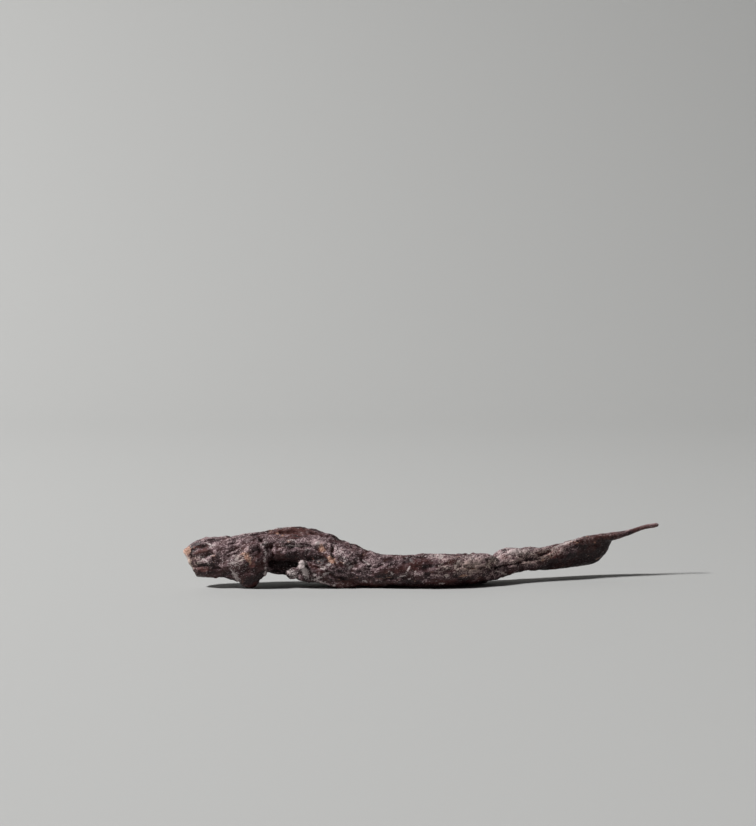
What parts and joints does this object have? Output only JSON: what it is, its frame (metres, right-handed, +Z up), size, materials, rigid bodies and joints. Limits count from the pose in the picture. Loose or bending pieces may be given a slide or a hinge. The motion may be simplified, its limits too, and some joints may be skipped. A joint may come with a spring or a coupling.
{
  "type": "venison jerky strip",
  "caption": "Long, shrivelled strip of dried venison with a knob and a torn flap underneath and a thin end that bends back and rises, lying on its belly as food.",
  "frame": {"origin": "on the table, under the middle of the strip's bounding box", "axes": "+X along the strip towards its thin raised end, +Y from the pictured side towards the back, +Z up"},
  "size_m": [0.1696, 0.036, 0.0201],
  "materials": {
    "dried_meat": "dry, wrinkled dark purple-brown meat with a pale frosted bloom, matte with small glossy spots"
  },
  "bodies": {
    "root": {"jerky_strip": "dried_meat"}
  },
  "joints": []
}
